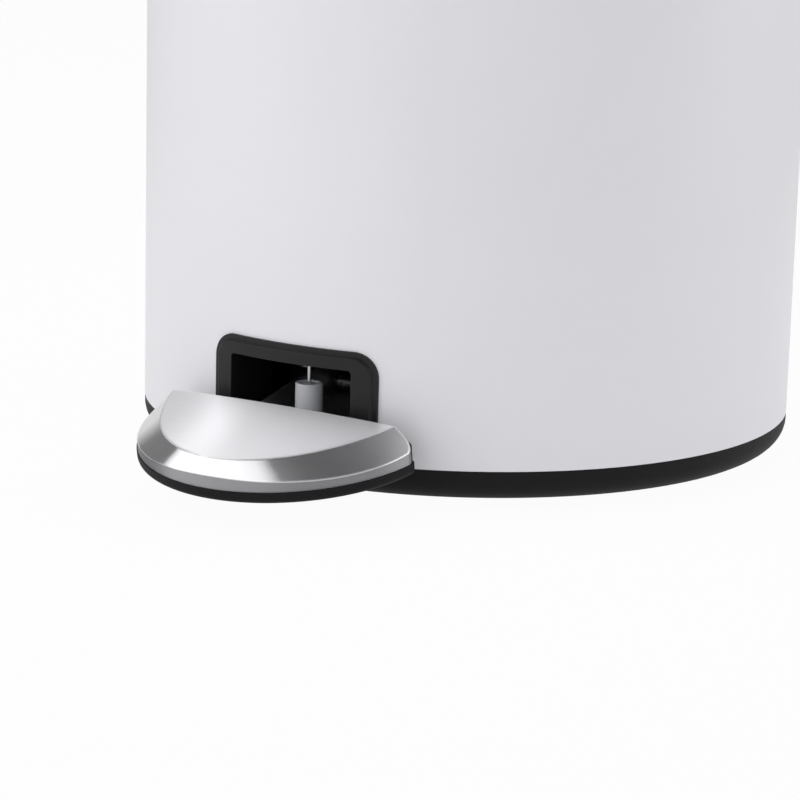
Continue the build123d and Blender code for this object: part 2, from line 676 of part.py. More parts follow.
def make_damper_piston():
    """Piston on the foot of the damper rod."""
    return post(DAMPER_BORE - RUN, PISTON_Z, PISTON_Z + PISTON_H, 0, damper_y)


def make_lift_rod():
    """Steel rod up the back wall, from the lever to the lid's crank."""
    low = lever_top + SLIP + LIFT_FOOT_H / 2
    return post(LIFT_R, low, fork_low() + FORK_PRONG, 0, lift_y)


def fork_low():
    """Underside of the fork on the lift rod."""
    return crank_z - CRANK_PIN_R - FORK_SLACK - FORK_PRONG


def make_lift_foot():
    """Domed nylon foot that rides on the lever's tail."""
    low = lever_top + SLIP
    foot = post(LIFT_FOOT_R, low, low + LIFT_FOOT_H, 0, lift_y)
    dome_z = low + LIFT_DOME_R
    foot &= Pos(0, lift_y, dome_z) * Sphere(LIFT_DOME_R) + post(LIFT_FOOT_R, dome_z, FAR, 0, lift_y)
    return foot - post(LIFT_R, low + LIFT_FOOT_H / 2, FAR, 0, lift_y)


def make_lift_fork():
    """Nylon fork on the rod's top, open towards the hinge, that the crank pin slides in."""
    low = fork_low()
    high = crank_z + CRANK_PIN_R + FORK_SLACK + FORK_PRONG
    front = lift_y - LIFT_R - FORK_WALL
    rear = crank_y + CRANK_PIN_R + FORK_TIP
    fork = block((-FORK_T / 2, FORK_T / 2), (front, rear), (low, high))
    fork = fillet(fork.edges().filter_by(Axis.X), FORK_SOFT)
    reach = hinge_y - CRANK_R - CRANK_PIN_R - FORK_THROAT
    gap = CRANK_PIN_R + FORK_SLACK
    fork -= block((-FORK_T, FORK_T), (reach, FAR), (crank_z - gap, crank_z + gap))
    return fork - post(LIFT_R, 0, low + FORK_PRONG, 0, lift_y)


def make_rod_guides():
    """Two guides on the inside of the back wall that keep the lift rod upright."""
    guides = []
    for z in (body_low + GUIDE_RISE, BODY_TOP - GUIDE_DROP):
        guide = block((-GUIDE_W / 2, GUIDE_W / 2), (body_in - GUIDE_REACH, FAR), (z, z + GUIDE_H))
        guide &= post(body_in, 0, FAR)
        guide -= post(LIFT_R + RUN, 0, FAR, 0, lift_y)
        inner = guide.edges().filter_by(Axis.Z).group_by(Axis.Y)[0]
        guides.append(fillet(inner, GUIDE_SOFT))
    return Compound([guide.solid() for guide in guides])


def make_hinge_housing():
    """Black housing on the back of the body that carries the hinge pin between two cheeks."""
    rear = BODY_R + HOUSE_OUT
    low = BODY_TOP - HOUSE_H
    top = BODY_TOP + HOUSE_LIFT
    outer = block((-HOUSE_HALF, HOUSE_HALF), (BODY_R / 2, rear), (low, top))
    outer = fillet(outer.edges().filter_by(Axis.Z).group_by(Axis.Y)[-1], HOUSE_CORNER)
    slope = [(BODY_R - HOUSE_TUCK, low), (rear, low), (rear, low + HOUSE_SOLE)]
    outer -= side_plate(slope, HOUSE_HALF)
    cheek = BARREL_HALF + HOUSE_PLAY
    well_low = crank_z - CRANK_PIN_R - CRANK_CHEEK - HOUSE_FLOOR
    outer -= block((-cheek, cheek), (0, rear - HOUSE_WALL), (well_low, FAR))
    brow_y = hinge_y + BARREL_R + HOUSE_BROW
    outer -= block((-FAR, FAR), (brow_y, FAR), (hinge_z + HOUSE_BROW_RISE, FAR))
    outer -= post(BODY_R, 0, FAR)
    outer -= post(BODY_R + COLLAR_PROUD + SLIP, BODY_TOP, FAR)
    outer -= bar(HINGE_PIN_R, HOUSE_HALF - PIN_CAP, hinge_y, hinge_z)
    for place in house_screw_places():
        outer -= place * house_screw_hole()
    return outer


def make_hinge_pin():
    """Steel pin between the housing's cheeks."""
    return bar(HINGE_PIN_R, HOUSE_HALF - PIN_CAP, hinge_y, hinge_z)


def make_hinge_screws():
    """Four screws from inside the body into the hinge housing."""
    seat = sqrt(body_in**2 - SCREW_HEAD_R**2)
    fixing = Pos(0, seat, 0) * Rot(-90, 0, 0) * screw(HOUSE_SCREW_L)
    return Compound([place * fixing for place in house_screw_places()])


def make_top_collar():
    """Black rim ring on the body's top edge, with the ledge that the bucket hangs on."""
    outer = BODY_R + COLLAR_PROUD
    top = BODY_TOP + COLLAR_H
    wall_in = upstand_in - COLLAR_WALL
    flare_w, flare_h = COLLAR_FLARE
    ring = turned_outline(
        (ledge_r, ledge_z),
        (wall_in, ledge_z),
        (wall_in, top - flare_h),
        (wall_in + flare_w, top),
        (outer - COLLAR_SOFT, top),
        (outer, top - COLLAR_SOFT),
        (outer, BODY_TOP),
        (upstand_out, BODY_TOP),
        (upstand_out, BODY_TOP - COLLAR_SKIRT),
        (upstand_in, BODY_TOP - COLLAR_SKIRT),
        (upstand_in, ledge_z - LEDGE_T),
        (ledge_r, ledge_z - LEDGE_T),
    )
    ring -= block((-COLLAR_GAP_HALF, COLLAR_GAP_HALF), (BODY_R / 2, FAR), (BODY_TOP + COLLAR_SILL, FAR))
    shaft = lift_y - LIFT_R - SHAFT_GAP
    ring -= block((-NOTCH_HALF, NOTCH_HALF), (shaft, FAR), (0, FAR))
    for place in bumper_places():
        ring -= place * Cylinder(BUMPER_R, 2 * BUMPER_SEAT)
    return ring


def bumper_places():
    """Places of the rubber stops on the collar's top, under the lid's hem."""
    radius = lid_r - SHEET - HEM_W / 2
    angles = [-90 + 360 * number / BUMPER_COUNT for number in range(BUMPER_COUNT)]
    return [Rot(0, 0, angle) * Pos(radius, 0, BODY_TOP + COLLAR_H) for angle in angles]


def make_collar_bumpers():
    """Rubber stops that the closed lid comes down on."""
    stop = Pos(0, 0, -BUMPER_SEAT) * Cylinder(BUMPER_R, BUMPER_SEAT + LID_GAP - SLIP, align=UP)
    stop = fillet(stop.edges().group_by(Axis.Z)[-1], BUMPER_SOFT)
    return Compound([place * stop for place in bumper_places()])


def lid_section(inset):
    """Half section of the lid's outside, or of its inside when inset by the sheet, open at the foot."""
    shoulder = LID_SHOULDER - inset
    skirt_top = lid_low + LID_SKIRT
    centre_r = lid_r - LID_SHOULDER
    dome_z = skirt_top - sqrt((LID_DOME_R - LID_SHOULDER) ** 2 - centre_r**2)
    lean = asin(centre_r / (LID_DOME_R - LID_SHOULDER))
    knee = (centre_r + shoulder * sin(lean), skirt_top + shoulder * cos(lean))
    half = (radians(90) + lean) / 2
    bend = (centre_r + shoulder * sin(half), skirt_top + shoulder * cos(half))
    dome = LID_DOME_R - inset
    crown = (0, dome_z + dome)
    mid = (dome * sin(lean / 2), dome_z + dome * cos(lean / 2))
    outer = lid_r - inset
    return [
        Line((0, lid_low), (outer, lid_low)),
        Line((outer, lid_low), (outer, skirt_top)),
        ThreePointArc((outer, skirt_top), bend, knee),
        ThreePointArc(knee, mid, crown),
        Line(crown, (0, lid_low)),
    ]


def make_lid_shell():
    """Painted steel lid: upright skirt, rounded shoulder, shallow dome and an inturned hem."""
    shell = turned(*lid_section(0)) - turned(*lid_section(SHEET))
    hem_out = lid_r - SHEET
    return shell + post(hem_out, lid_low, lid_low + SHEET) - post(hem_out - HEM_W, 0, lid_low + SHEET)


def make_lid_liner():
    """Black inner lid that stands on the hem and closes the lid from below."""
    outer = lid_r - SHEET - SLIP
    top = liner_plate + LINER_T
    liner = turned_outline(
        (outer, liner_low),
        (outer, top - LINER_BEVEL),
        (outer - LINER_BEVEL, top),
        (0, top),
        (0, liner_plate),
        (liner_in - LINER_EASE, liner_plate),
        (liner_in, liner_plate - LINER_EASE),
        (liner_in, liner_low),
    )
    for x, y in bracket_screw_places():
        liner -= post(SCREW_R, 0, FAR, x, y)
    return liner


def bracket_screw_places():
    """Screw centres that hold the hinge bracket under the liner."""
    return [(side * BRACKET_SCREW_X, lift_y - row) for side in (-1, 1) for row in BRACKET_SCREW_ROWS]


def make_lid_bracket():
    """Hinge bracket: plate under the liner, two arms under the hem, hinge barrel and crank cheeks."""
    low = liner_plate - BRACKET_T
    arm_low = BODY_TOP + ARM_GAP
    web_y = (lift_y - WEB_BEFORE, lift_y + WEB_BEHIND)
    bracket = block((-BRACKET_HALF, BRACKET_HALF), (lift_y - BRACKET_L, web_y[1]), (low, liner_plate))
    bracket = fillet(bracket.edges().filter_by(Axis.Z).group_by(Axis.Y)[0], BRACKET_CORNER)
    sides = [sorted((side * ARM_INNER, side * (BARREL_HALF - ARM_END))) for side in (-1, 1)]
    for x in sides:
        bracket += block(x, web_y, (arm_low, liner_plate))
    bracket &= post(liner_in - LINER_EASE - SLIP, 0, FAR)
    for x in sides:
        bracket += block(x, (web_y[0], hinge_y), (arm_low, lid_low))
    bracket += bar(BARREL_R, BARREL_HALF, hinge_y, hinge_z)
    wide = 2 * (cheek_x + CRANK_CHEEK)
    tip_r = CRANK_PIN_R + CRANK_WALL
    arm = Pos(0, -CRANK_R / 2, 0) * Box(wide, CRANK_R, 2 * tip_r)
    arm += Pos(0, -CRANK_R, 0) * Rot(0, 90, 0) * Cylinder(tip_r, wide)
    arm = Pos(0, hinge_y, hinge_z) * Rot(LID_OPEN / 2, 0, 0) * arm
    throat = block((-cheek_x, cheek_x), (0, FAR), (0, FAR)) - bar(BARREL_R, FAR, hinge_y, hinge_z)
    bracket += arm - throat
    bracket -= bar(HINGE_PIN_R + RUN, FAR, hinge_y, hinge_z)
    bracket -= bar(CRANK_PIN_R, FAR, crank_y, crank_z)
    for x, y in bracket_screw_places():
        bracket -= post(SCREW_R, low, FAR, x, y)
    return bracket


def make_crank_pin():
    """Steel pin between the crank cheeks, in the lift rod's fork."""
    return bar(CRANK_PIN_R, cheek_x + CRANK_CHEEK, crank_y, crank_z)


def make_lid_screws():
    """Four screws through the hinge bracket into the liner."""
    fixing = screw(BRACKET_T + LINER_T)
    return Compound([Pos(x, y, liner_plate - BRACKET_T) * fixing for x, y in bracket_screw_places()])


def make_inner_bucket():
    """Tapered lift-out bucket with a flange and two bail lugs."""
    heel_z = BUCKET_LOW_Z + BUCKET_CORNER
    heel_r = bucket_low_r + BUCKET_TAPER * BUCKET_CORNER / (flange_top - BUCKET_LOW_Z)
    bucket = turned_outline(
        (0, BUCKET_LOW_Z),
        (bucket_low_r - BUCKET_CORNER, BUCKET_LOW_Z),
        (heel_r, heel_z),
        (bucket_top_r, flange_z),
        (flange_r, flange_z),
        (flange_r, flange_top),
        (bucket_top_r - BUCKET_T, flange_top),
        (heel_r - BUCKET_T, heel_z),
        (bucket_low_r - BUCKET_CORNER, BUCKET_LOW_Z + BUCKET_T + BUCKET_CROWN),
        (0, BUCKET_LOW_Z + BUCKET_T),
    )
    for side in (-1, 1):
        x = sorted((side * (lug_x - LUG_T / 2), side * (lug_x + LUG_T / 2)))
        bucket += Pos(side * lug_x, 0, bail_z) * Rot(0, 90, 0) * Cylinder(LUG_R, LUG_T)
        bucket += block(x, (-LUG_R, LUG_R), (flange_z, bail_z))
    return bucket - bar(BAIL_R + RUN, FAR, 0, bail_z)


def make_bail_wire():
    """Bent wire bail of the bucket, lying over the flange towards the front."""
    tail = lug_x - LUG_T / 2 - BAIL_TAIL
    corner = flange_r + BAIL_SPREAD
    front_x = flange_r - BAIL_NARROW
    right = [(tail, 0), (corner, 0), (front_x, -bail_front)]
    left = [(-x, y) for x, y in reversed(right)]
    half_turn = atan(bail_front / (corner - front_x)) / 2
    bow = (front_x - GRIP_HALF - BAIL_STRAIGHT) / tan(half_turn)
    path = FilletPolyline(*right, *left, radius=[BAIL_BEND, bow, bow, BAIL_BEND])
    path = Pos(0, 0, bail_z) * path
    section = Plane(origin=path @ 0, z_dir=path % 0) * Circle(BAIL_R)
    return sweep(section, path=path)


def make_bail_grip():
    """Ringed plastic grip on the bail's front run."""
    grip = bar(GRIP_R, GRIP_HALF, -bail_front, bail_z)
    grip = fillet(grip.edges(), GRIP_SOFT)
    pitch = 2 * GRIP_HALF / (GRIP_RINGS + 1)
    groove = bar(2 * GRIP_R, GRIP_RING_W / 2, -bail_front, bail_z)
    groove -= bar(GRIP_R - GRIP_RING, GRIP_RING_W, -bail_front, bail_z)
    for number in range(GRIP_RINGS):
        grip -= Pos(-GRIP_HALF + pitch * (number + 1), 0, 0) * groove
    return grip - bar(BAIL_R, FAR, -bail_front, bail_z)


def make_damper_spring():
    """Spring under the damper piston that pushes the rod out again."""
    low = DAMPER_LOW + DAMPER_FLOOR + SPRING_WIRE
    high = PISTON_Z - SPRING_WIRE
    radius = DAMPER_BORE - SPRING_WIRE - SLIP
    coil = Helix(pitch=(high - low) / SPRING_TURNS, height=high - low, radius=radius)
    coil = Pos(0, damper_y, low) * coil
    section = Plane(origin=coil @ 0, z_dir=coil % 0) * Circle(SPRING_WIRE)
    return sweep(section, path=coil)


NODES = {
    "body_shell": make_body_shell,
    "base_ring": make_base_ring,
    "base_plate": make_base_plate,
    "foot_ring": make_foot_ring,
    "pedal_bezel": make_pedal_bezel,
    "top_collar": make_top_collar,
    "collar_bumpers": make_collar_bumpers,
    "axle_pin": make_axle_pin,
    "axle_caps": make_axle_caps,
    "axle_screws": make_axle_screws,
    "rod_guides": make_rod_guides,
    "hinge_housing": make_hinge_housing,
    "hinge_pin": make_hinge_pin,
    "hinge_screws": make_hinge_screws,
    "pedal_cover": make_pedal_cover,
    "pedal_tray": make_pedal_tray,
    "pedal_lever": make_pedal_lever,
    "lever_bushes": make_lever_bushes,
    "pedal_screws": make_pedal_screws,
    "damper_barrel": make_damper_barrel,
    "damper_seal": make_damper_seal,
    "damper_spring": make_damper_spring,
    "damper_rod": make_damper_rod,
    "damper_piston": make_damper_piston,
    "lift_rod": make_lift_rod,
    "lift_foot": make_lift_foot,
    "lift_fork": make_lift_fork,
    "lid_shell": make_lid_shell,
    "lid_liner": make_lid_liner,
    "lid_bracket": make_lid_bracket,
    "crank_pin": make_crank_pin,
    "lid_screws": make_lid_screws,
    "inner_bucket": make_inner_bucket,
    "bail_wire": make_bail_wire,
    "bail_grip": make_bail_grip,
}

os.makedirs("parts", exist_ok=True)
for name, make in NODES.items():
    export_step(make(), os.path.join("parts", name + ".step"))
print(f"pedal travel {press_angle:.3f} degrees, lift rod travel {lift_travel:.3f} mm")
print(f"hinge at y {hinge_y:.2f} z {hinge_z:.2f}, axle at y {pivot_y:.2f} z {PIVOT_Z:.2f}")
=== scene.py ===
import math

import bmesh
import bpy
from mathutils import Matrix, Vector


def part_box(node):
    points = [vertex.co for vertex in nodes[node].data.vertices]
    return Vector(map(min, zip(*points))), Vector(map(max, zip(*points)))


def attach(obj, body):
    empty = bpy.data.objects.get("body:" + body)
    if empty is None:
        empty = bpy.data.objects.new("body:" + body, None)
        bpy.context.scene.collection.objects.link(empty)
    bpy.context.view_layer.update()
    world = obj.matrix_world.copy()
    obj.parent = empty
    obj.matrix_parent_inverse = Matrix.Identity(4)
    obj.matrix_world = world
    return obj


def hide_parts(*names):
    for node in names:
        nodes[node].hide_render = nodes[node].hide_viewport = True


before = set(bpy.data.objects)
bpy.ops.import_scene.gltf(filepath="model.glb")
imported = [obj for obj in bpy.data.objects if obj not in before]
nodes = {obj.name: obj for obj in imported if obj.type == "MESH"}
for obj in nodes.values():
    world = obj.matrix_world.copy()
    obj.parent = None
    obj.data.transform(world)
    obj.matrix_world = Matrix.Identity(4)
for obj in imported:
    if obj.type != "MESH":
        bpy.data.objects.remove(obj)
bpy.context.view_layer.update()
print("frame loaded with", len(nodes), "nodes")


# small helpers for node trees

noiseLow, noiseHigh = 0.3, 0.7  # nearly all noise values lie between these


def addNode(tree, kind, inputs=None, **settings):
    node = tree.nodes.new(kind)
    for key, value in settings.items():
        setattr(node, key, value)
    for key, value in (inputs or {}).items():
        node.inputs[key].default_value = value
    return node


def newFinish(name, sockets):
    finish = bpy.data.materials.new(name)
    finish.use_nodes = True
    shader = finish.node_tree.nodes["Principled BSDF"]
    for key, value in sockets.items():
        shader.inputs[key].default_value = value
    return finish, finish.node_tree, shader


def objectPoint(tree, stretch=(1, 1, 1)):
    coords = addNode(tree, "ShaderNodeTexCoord")
    mapping = addNode(tree, "ShaderNodeMapping", {"Scale": stretch})
    tree.links.new(coords.outputs["Object"], mapping.inputs["Vector"])
    return mapping.outputs["Vector"]


def noiseOn(tree, point, scale, detail=3.0, roughness=0.55):
    values = {"Scale": scale, "Detail": detail, "Roughness": roughness}
    noise = addNode(tree, "ShaderNodeTexNoise", values)
    tree.links.new(point, noise.inputs["Vector"])
    return noise.outputs[0]


def mathOn(tree, operation, first, second=None):
    node = addNode(tree, "ShaderNodeMath", operation=operation)
    for socket, value in zip(node.inputs, (first, second)):
        if value is None:
            continue
        if isinstance(value, (int, float)):
            socket.default_value = value
        else:
            tree.links.new(value, socket)
    return node.outputs[0]


def spread(tree, driver, lowIn, highIn, lowOut, highOut):
    node = addNode(tree, "ShaderNodeMapRange", {1: lowIn, 2: highIn, 3: lowOut, 4: highOut})
    tree.links.new(driver, node.inputs[0])
    return node.outputs[0]


def twoTone(tree, driver, low, high):
    ramp = addNode(tree, "ShaderNodeValToRGB")
    for stop, place, colour in zip(ramp.color_ramp.elements, (noiseLow, noiseHigh), (low, high)):
        stop.position = place
        stop.color = (*colour, 1)
    tree.links.new(driver, ramp.inputs[0])
    return ramp.outputs[0]


def mixColour(tree, factor, first, second):
    node = addNode(tree, "ShaderNodeMix", data_type="RGBA")
    tree.links.new(factor, node.inputs[0])
    for socket, value in ((node.inputs[6], first), (node.inputs[7], second)):
        if isinstance(value, tuple):
            socket.default_value = (*value, 1)
        else:
            tree.links.new(value, socket)
    return node.outputs[2]


def softEdge(tree, radius):
    return addNode(tree, "ShaderNodeBevel", {"Radius": radius}, samples=6).outputs[0]


def edgeShare(tree, rounded, reach):  # 0 on a flat face, 1 where the edge is rounded most
    plain = addNode(tree, "ShaderNodeNewGeometry")
    dot = addNode(tree, "ShaderNodeVectorMath", operation="DOT_PRODUCT")
    tree.links.new(rounded, dot.inputs[0])
    tree.links.new(plain.outputs["Normal"], dot.inputs[1])
    return spread(tree, dot.outputs["Value"], 1.0, 1.0 - reach, 0.0, 1.0)


def relief(tree, shader, height, strength, depth, normal=None):
    bump = addNode(tree, "ShaderNodeBump", {"Strength": strength, "Distance": depth})
    tree.links.new(height, bump.inputs["Height"])
    if normal:
        tree.links.new(normal, bump.inputs["Normal"])
    tree.links.new(bump.outputs[0], shader.inputs["Normal"])


def unevenRough(tree, shader, driver, p):
    rough = spread(tree, driver, noiseLow, noiseHigh, p["roughLow"], p["roughHigh"])
    tree.links.new(rough, shader.inputs["Roughness"])


def dress(names, finish):
    for name in names:
        piece = nodes[name]
        if not piece.material_slots:
            piece.data.materials.append(finish)
        for place in piece.material_slots:
            place.material = finish


# painted steel of body and lid

bodyPaint = {
    "pale": (0.885, 0.881, 0.922),
    "shade": (0.873, 0.869, 0.91),
    "cloud": 14.0,          # slow tone change over the sheet, per metre
    "peel": 900.0,          # orange peel of the coat, per metre
    "peelStrength": 0.25,
    "peelDepth": 0.00004,
    "roughLow": 0.36,
    "roughHigh": 0.44,
    "gloss": 0.35,
    "coat": 0.12,
    "coatRough": 0.25,
}


def makeBodyPaint(p):
    finish, tree, shader = newFinish("satinWhitePaint", {
        "Specular IOR Level": p["gloss"],
        "Coat Weight": p["coat"],
        "Coat Roughness": p["coatRough"],
    })
    cloud = noiseOn(tree, objectPoint(tree), p["cloud"], detail=2.0)
    peel = noiseOn(tree, objectPoint(tree), p["peel"], detail=2.0, roughness=0.4)
    tree.links.new(twoTone(tree, cloud, p["shade"], p["pale"]), shader.inputs["Base Color"])
    unevenRough(tree, shader, cloud, p)
    relief(tree, shader, peel, p["peelStrength"], p["peelDepth"])
    return finish


dress(["body_shell", "lid_shell"], makeBodyPaint(bodyPaint))
print("body and lid painted")


# dark mouldings

blackMoulding = {
    "deep": (0.0075, 0.0073, 0.0085),
    "pale": (0.0105, 0.0102, 0.0118),
    # paler colour of rounded edges, a painted highlight
    "edge": (0.030, 0.030, 0.033),
    "flow": 30.0,           # slow tone change, per metre
    "grain": 2600.0,        # fine tool grain, per metre
    "grainStrength": 0.3,
    "grainDepth": 0.00005,
    "roughLow": 0.42,
    "roughHigh": 0.55,
    "round": 0.0004,        # moulded edge rounding
    "highlightReach": 0.25,           # how much of that rounding turns the edge pale, a painted highlight
    "gloss": 0.33,
}
# darker, less glossy copy for pieces low by the floor and under the pedal: its darker colours are painted
# shade
shadedBaseMoulding = {
    **blackMoulding,
    "deep": (0.0055, 0.0053, 0.0065),
    "pale": (0.0075, 0.0073, 0.0085),
    "edge": (0.012, 0.012, 0.014),
    "roughLow": 0.55,
    "roughHigh": 0.68,
    "gloss": 0.17,
}
darkNylon = {
    **blackMoulding,
    "pale": (0.02, 0.02, 0.022),
    "gloss": 0.5,
}
bucketPlastic = {
    **blackMoulding,
    "deep": (0.085, 0.085, 0.092),
    "pale": (0.10, 0.10, 0.108),
    "edge": (0.13, 0.13, 0.14),
    "roughLow": 0.34,
    "roughHigh": 0.42,
    "gloss": 0.5,
}


def makeMoulding(name, p):
    finish, tree, shader = newFinish(name, {"Specular IOR Level": p["gloss"]})
    grain = noiseOn(tree, objectPoint(tree), p["grain"], detail=4.0, roughness=0.6)
    flow = noiseOn(tree, objectPoint(tree), p["flow"])
    rounded = softEdge(tree, p["round"])
    # rounded edges turn pale as a painted highlight
    edgeHighlightMask = edgeShare(tree, rounded, p["highlightReach"])
    tone = twoTone(tree, flow, p["deep"], p["pale"])
    tree.links.new(mixColour(tree, edgeHighlightMask, tone, p["edge"]), shader.inputs["Base Color"])
    unevenRough(tree, shader, grain, p)
    relief(tree, shader, grain, p["grainStrength"], p["grainDepth"], rounded)
    return finish


dress(["pedal_bezel", "top_collar", "hinge_housing", "lid_liner"],
      makeMoulding("blackMoulding", blackMoulding))
dress(["base_ring", "base_plate", "pedal_tray"], makeMoulding("shadedBlackBaseMoulding", shadedBaseMoulding))
# lever bushes and axle caps get dark nylon as painted shade inside the can
dress(["lid_bracket", "bail_grip", "axle_caps", "lever_bushes"], makeMoulding("darkNylon", darkNylon))
dress(["inner_bucket"], makeMoulding("greyBucketPlastic", bucketPlastic))
print("dark mouldings dressed")


# brushed steel of the pedal

pedalSteel = {
    "bright": (0.95, 0.943, 0.965),
    "dull": (0.90, 0.893, 0.915),
    # steep bevel faces darker than the tread, painted shade
    "bevel": (0.77, 0.765, 0.785),
    "rim": (0.46, 0.455, 0.475),     # upright edge, darker than the tread as painted shade
    "tilt": math.radians(8.5),       # slope of the pedal towards its toe
    "behind": 0.004,                 # middle of the half disc behind its straight edge
    "treadLean": (0.78, 0.90),       # share of a face's normal along the tread's, from bevel to tread
    "rimLean": (0.45, 0.25),         # and from bevel to rim
    "across": 2600.0,                # brush lines per metre
    "along": 9.0,                    # tone changes along a line of the tread, per metre
    "aroundEdge": 0.4,               # and along a line of the edge, per radian
    "treadRough": 0.34,
    "edgeRough": 0.20,
    "rimRough": 0.55,
    "uneven": 0.012,                 # roughness change from line to line
    "lineStrength": 0.3,
    "lineDepth": 0.0000015,
    "stretch": 1.0,                  # how much wider the shine is across the lines
    "quarterTurn": 0.25,             # lays the wide way of the shine across them
    "crease": 0.0009,                # soft pressed edges
}


def makePedalSteel(p):
    finish, tree, shader = newFinish("brushedPedalSteel", {
        "Metallic": 1.0,
        "Anisotropic": p["stretch"],
        "Anisotropic Rotation": p["quarterTurn"],
    })
    low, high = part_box("pedal_cover")
    middle = (0.0, high.y + p["behind"], low.z)
    up = (0.0, -math.sin(p["tilt"]), math.cos(p["tilt"]))
    coords = addNode(tree, "ShaderNodeTexCoord")
    fromMiddle = addNode(tree, "ShaderNodeVectorMath", {1: middle}, operation="SUBTRACT")
    tree.links.new(coords.outputs["Object"], fromMiddle.inputs[0])
    parts = addNode(tree, "ShaderNodeSeparateXYZ")
    tree.links.new(fromMiddle.outputs[0], parts.inputs[0])
    x, y, z = parts.outputs

    # upward faces are the tread, steep ones the bevel, upright ones the rim
    facing = addNode(tree, "ShaderNodeNewGeometry")
    lean = addNode(tree, "ShaderNodeVectorMath", {1: up}, operation="DOT_PRODUCT")
    tree.links.new(facing.outputs["Normal"], lean.inputs[0])
    tread = spread(tree, lean.outputs["Value"], *p["treadLean"], 0.0, 1.0)
    rim = spread(tree, lean.outputs["Value"], *p["rimLean"], 0.0, 1.0)

    # brush lines run sideways on the tread and along the edge on the bevel and rim
    sideways = addNode(tree, "ShaderNodeCombineXYZ")
    tree.links.new(mathOn(tree, "MULTIPLY", x, p["along"]), sideways.inputs[0])
    tree.links.new(mathOn(tree, "MULTIPLY", y, p["across"]), sideways.inputs[1])
    angle = mathOn(tree, "ARCTAN2", x, y)
    square = mathOn(tree, "ADD", mathOn(tree, "MULTIPLY", x, x), mathOn(tree, "MULTIPLY", y, y))
    reach = mathOn(tree, "SQRT", square)
    aroundEdge = addNode(tree, "ShaderNodeCombineXYZ")
    tree.links.new(mathOn(tree, "MULTIPLY", angle, p["aroundEdge"]), aroundEdge.inputs[0])
    tree.links.new(mathOn(tree, "MULTIPLY", reach, p["across"]), aroundEdge.inputs[1])
    tree.links.new(mathOn(tree, "MULTIPLY", z, p["across"]), aroundEdge.inputs[2])
    route = addNode(tree, "ShaderNodeMix", data_type="VECTOR")
    tree.links.new(tread, route.inputs[0])
    tree.links.new(aroundEdge.outputs[0], route.inputs[4])
    tree.links.new(sideways.outputs[0], route.inputs[5])
    lines = noiseOn(tree, route.outputs[1], 1.0, detail=4.0, roughness=0.65)

    # the shine is stretched across the lines
    along = addNode(tree, "ShaderNodeVectorMath", {1: up}, operation="CROSS_PRODUCT")
    tree.links.new(fromMiddle.outputs[0], along.inputs[0])
    brush = addNode(tree, "ShaderNodeMix", {5: (1.0, 0.0, 0.0)}, data_type="VECTOR")
    tree.links.new(tread, brush.inputs[0])
    tree.links.new(along.outputs[0], brush.inputs[4])
    straight = addNode(tree, "ShaderNodeVectorMath", operation="NORMALIZE")
    tree.links.new(brush.outputs[1], straight.inputs[0])
    tree.links.new(straight.outputs[0], shader.inputs["Tangent"])

    # bevel and rim tones darken faces by their direction, a painted shade
    steel = mixColour(tree, tread, p["bevel"], twoTone(tree, lines, p["dull"], p["bright"]))
    tree.links.new(mixColour(tree, rim, steel, p["rim"]), shader.inputs["Base Color"])
    rough = spread(tree, tread, 0.0, 1.0, p["edgeRough"], p["treadRough"])
    rimMore = spread(tree, rim, 0.0, 1.0, 0.0, p["rimRough"] - p["edgeRough"])
    lineMore = spread(tree, lines, noiseLow, noiseHigh, -p["uneven"], p["uneven"])
    rough = mathOn(tree, "ADD", mathOn(tree, "ADD", rough, rimMore), lineMore)
    tree.links.new(rough, shader.inputs["Roughness"])
    relief(tree, shader, lines, p["lineStrength"], p["lineDepth"], softEdge(tree, p["crease"]))
    return finish


dress(["pedal_cover"], makePedalSteel(pedalSteel))
print("pedal brushed")


# plated steel of lever, pins, rods, wire and screws

platedSteel = {
    "bright": (0.60, 0.605, 0.62),
    "dull": (0.50, 0.505, 0.52),
    "bloom": 220.0,         # zinc bloom, per metre
    "drawn": 1800.0,        # fine drawing lines, per metre
    "drawnWay": (1, 1, 0.03),
    "drawnStrength": 0.3,
    "drawnDepth": 0.00001,
    "roughLow": 0.22,
    "roughHigh": 0.36,
}
# the lever's darker tones are painted shade inside the can; its higher roughness makes it duller
shadedLeverSteel = {
    **platedSteel,
    "bright": (0.50, 0.505, 0.52),
    "dull": (0.46, 0.465, 0.48),
    "roughLow": 0.42,
    "roughHigh": 0.50,
}
screwSteel = {
    **platedSteel,
    "dull": (0.42, 0.42, 0.43),
    "roughHigh": 0.42,
}


def makePlatedSteel(name, p):
    finish, tree, shader = newFinish(name, {"Metallic": 1.0})
    bloom = noiseOn(tree, objectPoint(tree), p["bloom"], detail=4.0, roughness=0.6)
    drawn = noiseOn(tree, objectPoint(tree, p["drawnWay"]), p["drawn"])
    tree.links.new(twoTone(tree, bloom, p["dull"], p["bright"]), shader.inputs["Base Color"])
    unevenRough(tree, shader, bloom, p)
    relief(tree, shader, drawn, p["drawnStrength"], p["drawnDepth"])
    return finish


dress(["lift_rod", "bail_wire", "axle_pin", "hinge_pin", "crank_pin", "damper_rod", "damper_spring"],
      makePlatedSteel("platedSteel", platedSteel))
dress(["pedal_lever"], makePlatedSteel("dullShadedPlatedSteel", shadedLeverSteel))
print("steel dressed")


